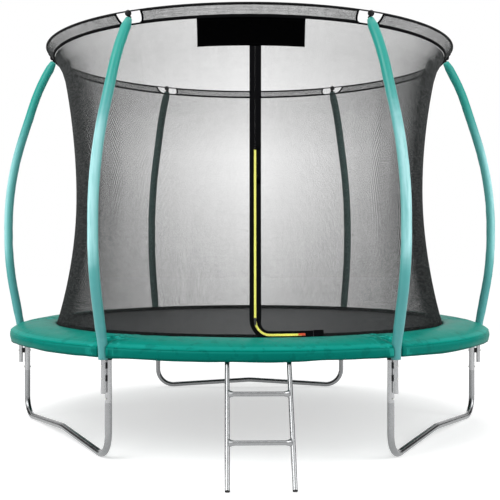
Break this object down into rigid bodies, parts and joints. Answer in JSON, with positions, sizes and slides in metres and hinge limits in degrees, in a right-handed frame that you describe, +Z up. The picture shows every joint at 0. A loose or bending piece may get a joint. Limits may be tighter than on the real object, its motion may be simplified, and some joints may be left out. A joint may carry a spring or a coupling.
{
  "type": "trampoline",
  "caption": "Round garden trampoline: sprung mat on a ring frame with W-shaped legs, padded edge, curved foam-covered poles, inner safety net with zipped entrance and hook-on ladder.",
  "frame": {"origin": "centre of the mat's top face, 645 mm above the ground", "axes": "+Z up, +X to the right, -Y towards the ladder and the zipped entrance"},
  "size_m": [3.3252, 3.5081, 2.4433],
  "materials": {
    "galvanised_tube": "satin zinc coating",
    "bolt_steel": "bright zinc",
    "black_plastic": "matt moulded",
    "sleeve_cover": "coated cloth over foam",
    "ring_rod": "smooth glass fibre rod",
    "netting": "open knitted netting",
    "band_netting": "open knitted netting",
    "black_webbing": "woven tape",
    "banner_cloth": "plain coated cloth",
    "zip_yellow": "moulded teeth",
    "slider_metal": "black enamel",
    "pull_orange": "moulded",
    "mat_cloth": "woven polypropylene",
    "spring_steel": "bright zinc",
    "pad_cover": "smooth coated cloth over foam",
    "skirt_cover": "smooth coated cloth",
    "ladder_tube": "satin zinc coating"
  },
  "bodies": {
    "frame": {"rail_front": "galvanised_tube", "rail_front_right": "galvanised_tube", "rail_back_right": "galvanised_tube", "rail_back": "galvanised_tube", "rail_back_left": "galvanised_tube", "rail_front_left": "galvanised_tube", "leg_front_left": "galvanised_tube", "leg_front_right": "galvanised_tube", "leg_right": "galvanised_tube", "leg_back_right": "galvanised_tube", "leg_back_left": "galvanised_tube", "leg_left": "galvanised_tube", "w_leg_left": "galvanised_tube", "w_leg_right": "galvanised_tube", "w_leg_back": "galvanised_tube", "leg_wraps": "black_plastic", "frame_bolts": "bolt_steel", "pole_spacers": "black_plastic", "pole_front_left": "galvanised_tube", "pole_front_right": "galvanised_tube", "pole_right": "galvanised_tube", "pole_back_right": "galvanised_tube", "pole_back_left": "galvanised_tube", "pole_left": "galvanised_tube", "sleeve_front_left": "sleeve_cover", "sleeve_front_right": "sleeve_cover", "sleeve_right": "sleeve_cover", "sleeve_back_right": "sleeve_cover", "sleeve_back_left": "sleeve_cover", "sleeve_left": "sleeve_cover", "pole_caps": "black_plastic", "top_ring": "ring_rod", "net_band": "band_netting", "net_cord": "black_webbing", "net_front": "netting", "net_front_right": "netting", "net_back_right": "netting", "net_back": "netting", "net_back_left": "netting", "net_front_left": "netting", "net_hem": "black_webbing", "banner": "banner_cloth", "zip_tape": "black_webbing", "zip_teeth": "zip_yellow", "springs": "spring_steel", "pad": "pad_cover", "pad_skirt": "skirt_cover"},
    "mat": {"mat": "mat_cloth", "mat_webbing": "black_webbing", "v_rings": "spring_steel"},
    "door": {"door_flap": "netting", "door_tape": "black_webbing"},
    "slider": {"zip_slider": "slider_metal"},
    "slider_pull": {"zip_pull": "slider_metal"},
    "lower_slider": {"low_slider": "pull_orange"},
    "lower_pull": {"low_pull": "pull_orange"},
    "ladder": {"ladder_rail_left": "ladder_tube", "ladder_rail_right": "ladder_tube", "ladder_treads": "ladder_tube", "ladder_plugs": "black_plastic"}
  },
  "joints": [
    {"name": "mat_bounce", "type": "slide", "parent": "frame", "child": "mat", "axis": [0, 0, 1], "range_m": [-0.15, 0], "stiffness_N_per_m": 4000, "springref_m": 0.03, "deforming": ["springs"]},
    {"name": "entrance_flap", "type": "hinge", "parent": "frame", "child": "door", "pos_m": [0.03, -1.15525, 1.029], "axis": [-0.2895, 0.0667, 0.9549], "range_deg": [0, 95]},
    {"name": "zip_slide", "type": "hinge", "parent": "door", "child": "slider", "pos_m": [0.03, -4.12307, 0.855], "axis": [1, 0, 0], "range_deg": [0, 17.05]},
    {"name": "zip_pull_swing", "type": "hinge", "parent": "slider", "child": "slider_pull", "pos_m": [0.03019, -1.26149, 0.10517], "axis": [-0.9997, -0.0239, 0], "range_deg": [0, 150]},
    {"name": "lower_zip_slide", "type": "hinge", "parent": "door", "child": "lower_slider", "pos_m": [0, 0, 0.023], "axis": [0, 0, 1], "range_deg": [-7.32, 0]},
    {"name": "lower_pull_swing", "type": "hinge", "parent": "lower_slider", "child": "lower_pull", "pos_m": [0.29183, -1.25037, 0.02533], "axis": [-0.063, 0.2701, 0.9608], "range_deg": [0, 150]},
    {"name": "ladder_swing", "type": "hinge", "parent": "frame", "child": "ladder", "pos_m": [0.04231, -1.49614, -0.045], "axis": [-0.9996, -0.0283, 0], "range_deg": [0, 8]}
  ]
}
